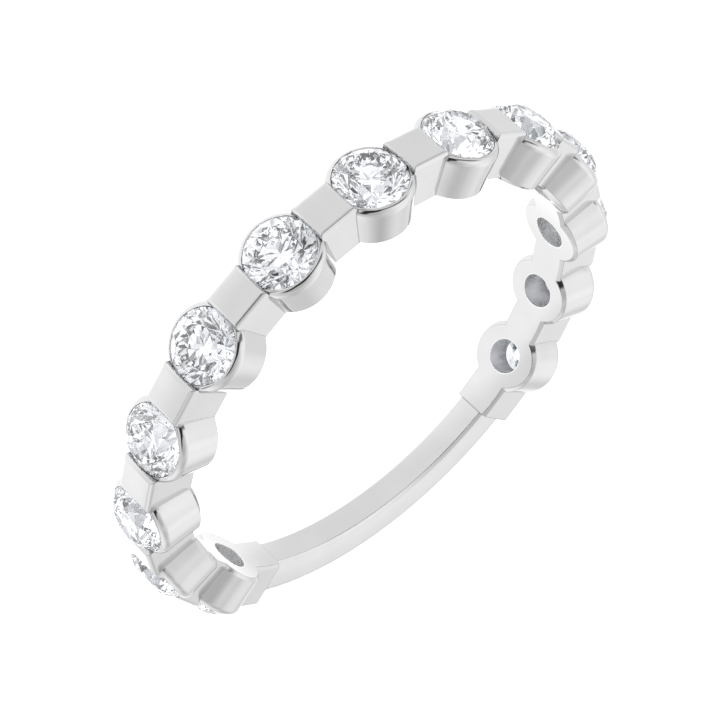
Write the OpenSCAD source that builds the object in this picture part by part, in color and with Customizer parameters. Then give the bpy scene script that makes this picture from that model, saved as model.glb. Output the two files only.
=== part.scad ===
// Bar set band: a cast ring whose round stones sit between cross bars.
// The ring lies on its side: Z is the finger's axis, and the origin is the middle of the finger hole.
// The middle stone points to +Y and the plain shank is centred on -Y.
// Inside each local frame below, x runs around the finger, y along it and z outward.

/* [Finger hole] */
// Diameter of the finger hole
finger_d = 17.3; // [14:0.1:22]
// Bevel along the edges of the hole's wall
hole_bevel = 0.1; // [0.02:0.01:0.2]

/* [Stones] */
// Number of stones in the row
stone_count = 13; // [5:1:14]
// Diameter of each stone
stone_d = 2.5; // [2:0.05:2.8]
// Distance from stone to stone, along the circle through their girdles
stone_pitch = 3.858; // [3.4:0.001:4.1]
// Height of the girdles above the hole's wall
stone_rise = 1.68; // [1.5:0.01:2]
// Clearance between a stone and its seat
stone_gap = 0.02; // [0.01:0.005:0.04]
// Turn of each stone about its own axis, against the one before it, in degrees
stone_turn = 17; // [0:1:44]

/* [Cut of the stones] */
// Slope of the crown's main facets, in degrees
crown_angle = 39; // [30:0.5:42]
// Slope of the pavilion's main facets, in degrees
pavilion_angle = 40.8; // [38:0.2:43]
// Width of the table over its corners, as a share of the diameter
table_share = 0.57; // [0.5:0.01:0.65]
// Thickness of the girdle, as a share of the diameter
girdle_share = 0.024; // [0.02:0.001:0.05]
// Length of the star facets, as a share of the way from the table's edge to the girdle
star_share = 0.5; // [0.4:0.05:0.6]
// Length of the lower girdle facets, as a share of the way from the girdle to the point
lower_share = 0.77; // [0.65:0.01:0.85]

/* [Bars] */
// Width of a bar, along the finger
bar_w = 1.54; // [1:0.02:2]
// Height of a bar's top above the hole's wall
bar_h = 1.94; // [1.8:0.01:2.3]
// How far a bar reaches over the girdle on each side
bar_bite = 0.063; // [0.03:0.001:0.1]
// Radius of a bar's top edges
bar_edge_r = 0.16; // [0.05:0.01:0.2]

/* [Cups] */
// Wall of a cup, outside the stone, where it is widest
cup_wall = 0.225; // [0.15:0.005:0.3]
// Height of a cup's rim above the middle of the girdle
cup_lip = 0.04; // [0.03:0.01:0.12]
// Radius of a rim's rounded outside
cup_edge_r = 0.28; // [0.05:0.01:0.4]
// Slope of a cup's side, which narrows towards the finger hole, in degrees
cup_taper = 4; // [0:0.5:8]
// Diameter of the light hole below each stone
light_hole_d = 1.32; // [0.6:0.02:1.6]

/* [Shank] */
// Width of the shank, along the finger
shank_w = 1.36; // [1:0.01:1.5]
// Thickness of the shank
shank_t = 1.56; // [1.2:0.01:1.8]
// How far the shank's inside stands back from the hole's wall
shank_recess = 0.05; // [0.01:0.01:0.1]
// Bevel along the shank's inner edges
shank_bevel = 0.11; // [0.02:0.01:0.16]
// How far each side of the shank draws in, from its fullest place to the bevel
shank_draft = 0.095; // [0.02:0.005:0.2]
// Radius of the shank's outer edges
shank_outer_r = 0.33; // [0.1:0.01:0.4]
// Radius of the shank's domed outside, across its width
shank_dome_r = 1.215; // [1.1:0.005:2]

/* [Hidden] */
// more than any wall is thick, so that a cut runs past it
past = 3;
// how deep a piece reaches inside the hole's wall before the hole is cut
root = 0.3;
// smoothness of the round surfaces
$fn = 96;

hole_r = finger_d / 2;
stone_r = stone_d / 2;
girdle_r = hole_r + stone_rise;
step = stone_pitch / girdle_r * 180 / PI;
middle = (stone_count + 1) / 2;
shank_half = 180 - stone_count * step / 2;

girdle_t = girdle_share * stone_d;
table_r = table_share * stone_r;
crown_h = (stone_r - table_r) * tan(crown_angle);
pavilion_h = stone_r * tan(pavilion_angle);

// a bar's side faces are parallel, so their distance follows from where they cross the girdles
bar_l = 2 * (girdle_r * sin(step / 2) - (stone_r - bar_bite) * cos(step / 2));
cup_r = stone_r + cup_wall;

// puts a local frame on the ring's circle, so many steps from the middle stone
module around(steps) {
    rotate([0, 0, -steps * step]) rotate([-90, 0, 0]) children();
}

// outline between two rounded corners, at the top of an upright piece
module round_top(width, top, edge_r) {
    across = width / 2 - edge_r;
    translate([-across, top - 2 * edge_r]) square([2 * across, 2 * edge_r]);
    for (side = [-1, 1])
        translate([side * across, top - edge_r]) circle(r = edge_r);
}

// a bar: its outline along the finger, with the foot bevelled at the hole, crossed with its outline around it
module bar() {
    top = hole_r + bar_h;
    shoulder = top - bar_edge_r;
    half = bar_w / 2;
    foot = half - hole_bevel - root;
    intersection() {
        rotate([90, 0, 90]) linear_extrude(bar_l, center = true) {
            polygon([
                [-foot, hole_r - root], [foot, hole_r - root], [half, hole_r + hole_bevel],
                [half, shoulder], [-half, shoulder], [-half, hole_r + hole_bevel],
            ]);
            round_top(bar_w, top, bar_edge_r);
        }
        rotate([90, 0, 0]) linear_extrude(bar_w, center = true) {
            translate([-bar_l / 2, hole_r - root]) square([bar_l, shoulder - hole_r + root]);
            round_top(bar_l, top, bar_edge_r);
        }
    }
}

// half bezels: a round cup whose sides show between the bars
module cup() {
    centre = [cup_r - cup_edge_r, girdle_r + cup_lip - cup_edge_r];
    shoulder = centre + cup_edge_r * [cos(cup_taper), -sin(cup_taper)];
    foot = hole_r + hole_bevel;
    foot_r = shoulder[0] - (shoulder[1] - foot) * tan(cup_taper);
    inner_r = foot_r - hole_bevel - root;
    rotate_extrude() {
        polygon([
            [0, hole_r - root], [inner_r, hole_r - root], [foot_r, foot], shoulder, centre, [0, centre[1]],
        ]);
        translate([0, centre[1] - cup_edge_r / 2]) square([centre[0], 3 / 2 * cup_edge_r]);
        translate(centre) circle(r = cup_edge_r);
    }
}

// room for a stone: its own form and the clearance, with the light hole below
module seat() {
    above = stone_gap / cos(crown_angle);
    below = stone_gap / cos(pavilion_angle);
    seat_r = stone_r + stone_gap;
    hole = light_hole_d / 2;
    translate([0, 0, girdle_r]) rotate_extrude() polygon([
        [0, -past], [hole, -past],
        [hole, -girdle_t / 2 - (stone_r - hole) * tan(pavilion_angle) - below],
        [seat_r, -girdle_t / 2 + stone_gap * tan(pavilion_angle) - below],
        [seat_r, girdle_t / 2 - stone_gap * tan(crown_angle) + above],
        [table_r, girdle_t / 2 + crown_h + above],
        [table_r, past], [0, past],
    ]);
}

// the shank's section: x is the distance from the finger's axis, and y runs along the finger
module shank_section() {
    inside = hole_r + shank_recess;
    apex = inside + shank_t;
    half = shank_w / 2;
    dome_x = apex - shank_dome_r;
    corner_y = half - shank_outer_r;
    corner_x = dome_x + sqrt(pow(shank_dome_r - shank_outer_r, 2) - pow(corner_y, 2));
    reach = shank_dome_r / (shank_dome_r - shank_outer_r);
    // the sides are shallow arcs, fullest where the outer edges begin
    flat = half - shank_draft - shank_bevel;
    slope = shank_draft + 2 * shank_bevel;
    run = corner_x - inside - shank_bevel;
    side_r = (run * run + shank_draft * shank_draft) / (2 * shank_draft);
    intersection() {
        polygon([
            [inside, -flat], [inside, flat], [inside + slope, flat + slope], [corner_x, flat + slope],
            [corner_x, -flat - slope], [inside + slope, -flat - slope],
        ]);
        translate([corner_x, half - side_r]) circle(r = side_r);
        translate([corner_x, side_r - half]) circle(r = side_r);
    }
    for (side = [-1, 1]) translate([corner_x, side * corner_y]) circle(r = shank_outer_r);
    intersection() {
        translate([dome_x, 0]) circle(r = shank_dome_r);
        polygon([
            [corner_x, -corner_y], [corner_x, corner_y],
            [dome_x + (corner_x - dome_x) * reach, corner_y * reach],
            [apex, corner_y * reach], [apex, -corner_y * reach],
            [dome_x + (corner_x - dome_x) * reach, -corner_y * reach],
        ]);
    }
}

module shank() {
    rotate([0, 0, 270 - shank_half]) rotate_extrude(angle = 2 * shank_half) shank_section();
}

module band() {
    color("gainsboro") difference() {
        union() {
            for (i = [0 : stone_count]) around(i + 0.5 - middle) bar();
            for (i = [1 : stone_count]) around(i - middle) cup();
            shank();
        }
        cylinder(r = hole_r, h = 2 * past, center = true);
        for (i = [1 : stone_count]) around(i - middle) seat();
    }
}

// a point at an angle around the stone's axis
function ring_point(r, angle, z) = [r * cos(angle), r * sin(angle), z];

// height of the plane through three points, at a fourth place
function plane_z(a, b, c, at) =
    let (n = cross(b - a, c - a))
    a[2] - (n[0] * (at[0] - a[0]) + n[1] * (at[1] - a[1])) / n[2];

// round brilliant: table, 8 stars, 8 kites and 16 upper facets, then the girdle, 16 lower facets and 8 mains
module brilliant() {
    sides = 8;
    octant = 360 / sides;
    girdle_n = 4 * sides;
    edge_r = table_r * cos(octant / 2);
    star_r = edge_r + star_share * (stone_r - edge_r);
    lower_r = (1 - lower_share) * stone_r;
    star_z = girdle_t / 2 + (stone_r - star_r * cos(octant / 2)) * tan(crown_angle);
    lower_z = -girdle_t / 2 - (stone_r - lower_r * cos(octant / 2)) * tan(pavilion_angle);

    corner = ring_point(stone_r, 0, 0);
    next = ring_point(stone_r, octant / 2, 0);
    between = ring_point(stone_r, octant / 4, 0);
    dip = plane_z(corner, next, ring_point(star_r, octant / 2, star_z - girdle_t / 2), between);
    lift = plane_z(corner, next, ring_point(lower_r, octant / 2, lower_z + girdle_t / 2), between);

    points = concat(
        [for (k = [0 : sides - 1]) ring_point(table_r, k * octant, girdle_t / 2 + crown_h)],
        [for (k = [0 : sides - 1]) ring_point(star_r, (k + 0.5) * octant, star_z)],
        [for (k = [0 : girdle_n - 1]) ring_point(stone_r, k * octant / 4, girdle_t / 2 + (k % 2) * dip)],
        [for (k = [0 : girdle_n - 1]) ring_point(stone_r, k * octant / 4, -girdle_t / 2 + (k % 2) * lift)],
        [for (k = [0 : sides - 1]) ring_point(lower_r, (k + 0.5) * octant, lower_z)],
        [[0, 0, -girdle_t / 2 - pavilion_h]]
    );
    // where each point stands in that list
    function table(k) = k % sides;
    function star(k) = sides + (k + sides) % sides;
    function upper(k) = 2 * sides + (k + girdle_n) % girdle_n;
    function under(k) = 2 * sides + girdle_n + (k + girdle_n) % girdle_n;
    function lower(k) = 2 * (sides + girdle_n) + (k + sides) % sides;
    tip = 3 * sides + 2 * girdle_n;

    faces = concat(
        [[for (k = [0 : sides - 1]) table(sides - 1 - k)]],
        [for (k = [0 : sides - 1]) [table(k), table(k + 1), star(k)]],
        [for (k = [0 : sides - 1]) [table(k), star(k), upper(4 * k), star(k - 1)]],
        [for (k = [0 : sides - 1]) each [
            [star(k), upper(4 * k + 2), upper(4 * k + 1), upper(4 * k)],
            [star(k), upper(4 * k + 4), upper(4 * k + 3), upper(4 * k + 2)],
        ]],
        [for (k = [0 : girdle_n - 1]) [upper(k), upper(k + 1), under(k + 1), under(k)]],
        [for (k = [0 : sides - 1]) each [
            [lower(k), under(4 * k), under(4 * k + 1), under(4 * k + 2)],
            [lower(k), under(4 * k + 2), under(4 * k + 3), under(4 * k + 4)],
        ]],
        [for (k = [0 : sides - 1]) [under(4 * k), lower(k), tip, lower(k - 1)]]
    );
    polyhedron(points, faces);
}

module stone(i) {
    color("azure") around(i - middle) translate([0, 0, girdle_r]) rotate([0, 0, i * stone_turn]) brilliant();
}

band();
for (i = [1 : stone_count])
    stone(i);
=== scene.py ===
# Bar set band: a white gold ring whose round diamonds sit between cross bars, lying on its side.
import bpy, math
from mathutils import Matrix, Vector


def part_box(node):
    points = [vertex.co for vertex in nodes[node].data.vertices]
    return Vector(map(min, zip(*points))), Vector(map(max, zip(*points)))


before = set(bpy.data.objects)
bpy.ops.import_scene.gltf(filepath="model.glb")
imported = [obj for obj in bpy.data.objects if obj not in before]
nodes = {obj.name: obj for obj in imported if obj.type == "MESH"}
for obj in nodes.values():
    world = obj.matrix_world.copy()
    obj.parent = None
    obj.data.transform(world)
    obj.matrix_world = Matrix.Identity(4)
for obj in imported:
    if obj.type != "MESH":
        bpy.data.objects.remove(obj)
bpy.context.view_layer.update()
scene = bpy.context.scene
MM = 0.001
WHITE = (1.0, 1.0, 1.0)
BLACK = (0.0, 0.0, 0.0)

# Camera, fitted to the photograph through the stones and bars; its place is in units of the fit
CAMERA_UNIT = 0.00866
CAMERA_DISTANCE = 9.464252
CAMERA_SHIFT = (0.045062, -0.033827)
CAMERA_RIGHT = Vector((0.757955, -0.005497, 0.652284))
CAMERA_UP = Vector((0.530200, 0.587704, -0.611140))
CAMERA_BACK = Vector((-0.379991, 0.809057, 0.448368))
FOCAL_PX = 2315.7
PICTURE_PX = 720.0
SENSOR_MM = 36.0
CLIP_NEAR = 0.005
CLIP_FAR = 10.0

# Noise textures: each grain is a scale and a detail, and their values are used over this span
NOISE_SPAN = (0.3, 0.7)

# White gold: the two tones of its polish, the roughness of its haze, and a very faint ripple
METAL_DARK = (0.565, 0.565, 0.567)
METAL_LIGHT = (0.593, 0.593, 0.595)
METAL_GRAIN = (900.0, 4.0)
HAZE = (0.05, 0.11)
HAZE_GRAIN = (2600.0, 3.0)
RIPPLE_STRENGTH = 0.02
RIPPLE_DEPTH = 0.01 * MM
RIPPLE_GRAIN = (14000.0, 2.0)
# Rounded edges: their radius, the tone of the thin painted shade line along them, and the cosines
# of its turn
EDGE_ROUNDING = 0.055 * MM
EDGE_PAINTED_SHADE = 0.32
EDGE_SHADE_TURN = (0.84, 0.985)
# Painted shade in crevices: its reach, its darkest tone, and the openness from the darkest to the
# clear metal
CREVICE = 0.09 * MM
CREVICE_PAINTED_SHADE = (0.25, 0.25, 0.26)
CREVICE_SPAN = (0.3, 0.88)
# Rays sent out for each look at an edge or a crevice
FINE_SAMPLES = 8

# The row of stones: the step from one to the next, and its reach each way from the middle one
STONE_STEP = math.radians(21.4)
ROW_REACH = math.radians(136)
# The seats below the stones get painted light, a tone brighter than the metal: radii from the
# ring's axis, and reach from a stone's
SEAT_RADII = (9.3 * MM, 10.4 * MM)
SEAT_REACH = 1.285 * MM
SEAT_PAINTED_LIGHT = (0.88, 0.88, 0.885)
# The walls of the light holes are left rough as drilled, and get painted light, a tone brighter
# than the metal
HOLE_REACH = 0.69 * MM
HOLE_PAINTED_LIGHT = (0.84, 0.84, 0.845)
HOLE_ROUGHNESS = 0.45

# Diamond: two faint tints over the whole of a noise, the roughness of its polish, and its index
DIAMOND_TINTS = ((0.93, 0.93, 1.0), (0.94, 0.985, 1.0))
TINT_SPAN = (0.0, 1.0)
TINT_GRAIN = (500.0, 2.0)
POLISH = (0.0, 0.004)
POLISH_GRAIN = (3000.0, 2.0)
DIAMOND_IOR = 2.417

# Even light of the studio, and the least that is left where dark patches meet
AMBIENT = 1.14
DARKEST = 0.04
# Soft patches: compass angle from +Y to +X, height, inner and outer radius, strength
PATCHES = (
    ("camera opening", -24, 27, 6, 20, -1.0),
    ("right softbox", 80, 47, 6, 40, 0.25),
    ("left rear glow", -135, 12, 6, 40, 0.31),
    ("right rear glow", 148, 46, 6, 34, 0.27),
    ("front glow", 20, 47, 6, 40, 0.11),
    ("rear gap", 180, 12, 6, 40, -0.19),
    ("left rear shade", -160, 47, 6, 40, -0.23),
    ("left shade", -100, 47, 6, 40, -0.17),
    ("front shade", -40, 47, 6, 40, -0.33),
)
# Dark bands: compass angle, cosines where their length fades in, sines of their heights, strength
BANDS = (
    ("horizon gap", -27, (-0.3, 0.1), (-0.02, 0.0, 0.03, 0.2), -0.8),
    ("front strip", -8, (0.2, 0.6), (0.34, 0.42, 0.55, 0.66), -1.0),
)

# White floor: its size and even brightness
FLOOR_SIZE = 4.0
FLOOR_ROUGHNESS = 0.9
FLOOR_GLOW = 1.16
# Painted light around the ring and painted shade by the shank on the floor's glow: strength,
# middle, radii where it fades
FLOOR_LIGHT_AND_SHADE = (
    (0.3, (-1.5 * MM, -0.5 * MM, 0.0), (10.8 * MM, 13 * MM)),
    (-0.3, (-0.5 * MM, -5 * MM, 0.0), (2 * MM, 4.5 * MM)),
)

# Light meets many facets before it leaves a stone, and fewer faces of the metal
STONE_BOUNCES = 24
METAL_BOUNCES = 12


def add_camera():
    data = bpy.data.cameras.new("camera")
    data.sensor_width = SENSOR_MM
    data.lens = FOCAL_PX * SENSOR_MM / PICTURE_PX
    data.clip_start = CLIP_NEAR
    data.clip_end = CLIP_FAR
    cam = bpy.data.objects.new("camera", data)
    scene.collection.objects.link(cam)
    right, up = CAMERA_SHIFT
    place = (-right * CAMERA_RIGHT - up * CAMERA_UP + CAMERA_DISTANCE * CAMERA_BACK) * CAMERA_UNIT
    turn = Matrix((CAMERA_RIGHT, CAMERA_UP, CAMERA_BACK)).transposed().to_4x4()
    cam.matrix_world = Matrix.Translation(place) @ turn
    scene.camera = cam


# Small helpers for node materials
def new_material(name):
    mat = bpy.data.materials.new(name)
    mat.use_nodes = True
    tree = mat.node_tree
    return mat, tree, tree.nodes["Principled BSDF"]


def node(tree, kind, **values):
    n = tree.nodes.new(kind)
    for key, value in values.items():
        if key in n.inputs.keys():
            n.inputs[key].default_value = value
        else:
            setattr(n, key, value)
    return n


def fill(tree, socket, value):
    if isinstance(value, bpy.types.NodeSocket):
        tree.links.new(value, socket)
    else:
        socket.default_value = value


def noise(tree, vector, scale, detail):
    n = node(tree, "ShaderNodeTexNoise", Scale=scale, Detail=detail)
    tree.links.new(vector, n.inputs["Vector"])
    return n.outputs["Fac"]


def remap(tree, value, span, to, kind="LINEAR"):
    n = node(tree, "ShaderNodeMapRange", interpolation_type=kind)
    for key, v in zip(("From Min", "From Max", "To Min", "To Max"), (*span, *to)):
        n.inputs[key].default_value = v
    tree.links.new(value, n.inputs["Value"])
    return n.outputs["Result"]


def tone(tree, fac, dark, light, span):
    ramp = tree.nodes.new("ShaderNodeValToRGB")
    for e, at, c in zip(ramp.color_ramp.elements, span, (dark, light)):
        e.position = at
        e.color = (*c, 1.0)
    tree.links.new(fac, ramp.inputs["Fac"])
    return ramp.outputs["Color"]


def number(tree, value):
    n = tree.nodes.new("ShaderNodeValue")
    n.outputs[0].default_value = value
    return n.outputs[0]


def plain(tree, colour):
    n = tree.nodes.new("ShaderNodeRGB")
    n.outputs[0].default_value = (*colour, 1.0)
    return n.outputs[0]


def mix(tree, blend, fac, a, b):
    n = node(tree, "ShaderNodeMix", data_type="RGBA", blend_type=blend)
    fill(tree, n.inputs["Factor"], fac)
    tree.links.new(a, n.inputs["A"])
    tree.links.new(b, n.inputs["B"])
    return n.outputs["Result"]


def maths(tree, operation, *values, label=""):
    n = node(tree, "ShaderNodeMath", operation=operation, label=label)
    for socket, value in zip(n.inputs, values):
        fill(tree, socket, value)
    return n.outputs[0]


def product(tree, a, b):
    return maths(tree, "MULTIPLY", a, b)


def length(tree, a, b):
    return maths(tree, "SQRT", maths(tree, "ADD", product(tree, a, a), product(tree, b, b)))


def vectors(tree, operation, a, b):
    n = node(tree, "ShaderNodeVectorMath", operation=operation)
    tree.links.new(a, n.inputs[0])
    fill(tree, n.inputs[1], b)
    return n.outputs["Value"]


# Where the metal lies in a stone's seat, and where in the wall of a light hole
def seat_masks(tree, place):
    parts = tree.nodes.new("ShaderNodeSeparateXYZ")
    tree.links.new(place, parts.inputs[0])
    x, y, z = parts.outputs
    radius = length(tree, x, y)
    angle = maths(tree, "ARCTAN2", x, y)
    past_stone = maths(tree, "WRAP", angle, STONE_STEP / 2, -STONE_STEP / 2)
    reach = length(tree, product(tree, radius, past_stone), z)
    low, high = SEAT_RADII
    above = maths(tree, "GREATER_THAN", radius, low)
    below = maths(tree, "LESS_THAN", radius, high)
    in_row = maths(tree, "LESS_THAN", maths(tree, "ABSOLUTE", angle), ROW_REACH)
    in_seat = product(tree, maths(tree, "LESS_THAN", reach, SEAT_REACH), in_row)
    in_hole = product(tree, maths(tree, "LESS_THAN", reach, HOLE_REACH), in_row)
    return product(tree, product(tree, above, below), in_seat), in_hole


def white_gold():
    mat, tree, shader = new_material("white_gold")
    place = tree.nodes.new("ShaderNodeTexCoord").outputs["Object"]
    grain = noise(tree, place, *METAL_GRAIN)
    plate = tone(tree, grain, METAL_DARK, METAL_LIGHT, NOISE_SPAN)
    # Painted shade: the colour is darkened where the metal is closed in, in crevices and between
    # parts
    shade = node(tree, "ShaderNodeAmbientOcclusion", Distance=CREVICE, samples=FINE_SAMPLES)
    crevice_shade = tone(tree, shade.outputs["AO"], CREVICE_PAINTED_SHADE, WHITE, CREVICE_SPAN)
    # Edges are rounded in the shading normal, and the colour gets a thin painted shade line where
    # they turn
    rounded = node(tree, "ShaderNodeBevel", Radius=EDGE_ROUNDING, samples=FINE_SAMPLES)
    flat = tree.nodes.new("ShaderNodeNewGeometry")
    turn = vectors(tree, "DOT_PRODUCT", rounded.outputs["Normal"], flat.outputs["Normal"])
    line = remap(tree, turn, EDGE_SHADE_TURN, (EDGE_PAINTED_SHADE, 1.0))
    tone_with_painted_light = mix(tree, "MULTIPLY", 1.0, mix(tree, "MULTIPLY", 1.0, plate, crevice_shade), line)
    seat, hole_wall = seat_masks(tree, place)
    # Painted light: the stones' seats and the hole walls get tones brighter than the metal
    for mask, colour in ((seat, SEAT_PAINTED_LIGHT), (hole_wall, HOLE_PAINTED_LIGHT)):
        tone_with_painted_light = mix(tree, "MIX", mask, tone_with_painted_light, plain(tree, colour))
    tree.links.new(tone_with_painted_light, shader.inputs["Base Color"])
    shader.inputs["Metallic"].default_value = 1.0
    haze = remap(tree, noise(tree, place, *HAZE_GRAIN), NOISE_SPAN, HAZE)
    rough = maths(tree, "MAXIMUM", haze, product(tree, hole_wall, HOLE_ROUGHNESS))
    tree.links.new(rough, shader.inputs["Roughness"])
    ripple = node(tree, "ShaderNodeBump", Strength=RIPPLE_STRENGTH, Distance=RIPPLE_DEPTH)
    tree.links.new(rounded.outputs["Normal"], ripple.inputs["Normal"])
    tree.links.new(noise(tree, place, *RIPPLE_GRAIN), ripple.inputs["Height"])
    tree.links.new(ripple.outputs["Normal"], shader.inputs["Normal"])
    return mat


def diamond():
    mat, tree, shader = new_material("diamond")
    place = tree.nodes.new("ShaderNodeTexCoord").outputs["Object"]
    cloud = noise(tree, place, *TINT_GRAIN)
    tree.links.new(tone(tree, cloud, *DIAMOND_TINTS, TINT_SPAN), shader.inputs["Base Color"])
    shader.inputs["Transmission Weight"].default_value = 1.0
    shader.inputs["IOR"].default_value = DIAMOND_IOR
    polish = remap(tree, noise(tree, place, *POLISH_GRAIN), NOISE_SPAN, POLISH)
    tree.links.new(polish, shader.inputs["Roughness"])
    return mat


def dress():
    metal = white_gold()
    stone = diamond()
    for name, obj in nodes.items():
        obj.data.materials.clear()
        obj.data.materials.append(metal if name == "band" else stone)
        if name == "band":
            continue
        for p in obj.data.polygons:
            p.use_smooth = False


def add_floor():
    low = min(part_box(n)[0].z for n in nodes)
    bpy.ops.mesh.primitive_plane_add(size=FLOOR_SIZE, location=(0, 0, low))
    floor = bpy.context.object
    floor.name = "floor"
    mat, tree, shader = new_material("floor")
    shader.inputs["Base Color"].default_value = (*BLACK, 1.0)
    shader.inputs["Roughness"].default_value = FLOOR_ROUGHNESS
    shader.inputs["Specular IOR Level"].default_value = 0.0
    shader.inputs["Emission Color"].default_value = (*WHITE, 1.0)
    place = tree.nodes.new("ShaderNodeTexCoord").outputs["Object"]
    total = number(tree, FLOOR_GLOW)
    # Painted light and shade spots added to the floor's even glow
    for strength, middle, radii in FLOOR_LIGHT_AND_SHADE:
        away = vectors(tree, "DISTANCE", place, middle)
        spot = remap(tree, away, radii, (strength, 0.0), "SMOOTHSTEP")
        total = maths(tree, "ADD", total, spot)
    tree.links.new(total, shader.inputs["Emission Strength"])
    floor.data.materials.append(mat)


def heading(compass, height):
    a, h = math.radians(compass), math.radians(height)
    return (math.sin(a) * math.cos(h), math.cos(a) * math.cos(h), math.sin(h))


def add_world():
    world = bpy.data.worlds.new("studio")
    scene.world = world
    world.use_nodes = True
    tree = world.node_tree
    way = tree.nodes.new("ShaderNodeTexCoord").outputs["Generated"]
    total = number(tree, AMBIENT)
    for name, compass, height, inner, outer, strength in PATCHES:
        near = vectors(tree, "DOT_PRODUCT", way, heading(compass, height))
        edges = (math.cos(math.radians(outer)), math.cos(math.radians(inner)))
        patch = remap(tree, near, edges, (0.0, strength), "SMOOTHSTEP")
        total = maths(tree, "ADD", total, patch, label=name)
    parts = tree.nodes.new("ShaderNodeSeparateXYZ")
    tree.links.new(way, parts.inputs[0])
    rise = parts.outputs["Z"]
    for name, compass, fade, (begin, full, stay, end), strength in BANDS:
        ahead = vectors(tree, "DOT_PRODUCT", way, heading(compass, 0))
        along = remap(tree, ahead, fade, (0.0, strength), "SMOOTHSTEP")
        above = remap(tree, rise, (begin, full), (0.0, 1.0), "SMOOTHSTEP")
        below = remap(tree, rise, (stay, end), (1.0, 0.0), "SMOOTHSTEP")
        band = product(tree, along, product(tree, above, below))
        total = maths(tree, "ADD", total, band, label=name)
    back = tree.nodes["Background"]
    tree.links.new(maths(tree, "MAXIMUM", total, DARKEST), back.inputs["Strength"])
    back.inputs["Color"].default_value = (*WHITE, 1.0)


add_camera()
dress()
add_floor()
add_world()
scene.view_settings.view_transform = "Standard"
scene.cycles.max_bounces = STONE_BOUNCES
scene.cycles.transmission_bounces = STONE_BOUNCES
scene.cycles.glossy_bounces = METAL_BOUNCES
scene.cycles.use_denoising = True
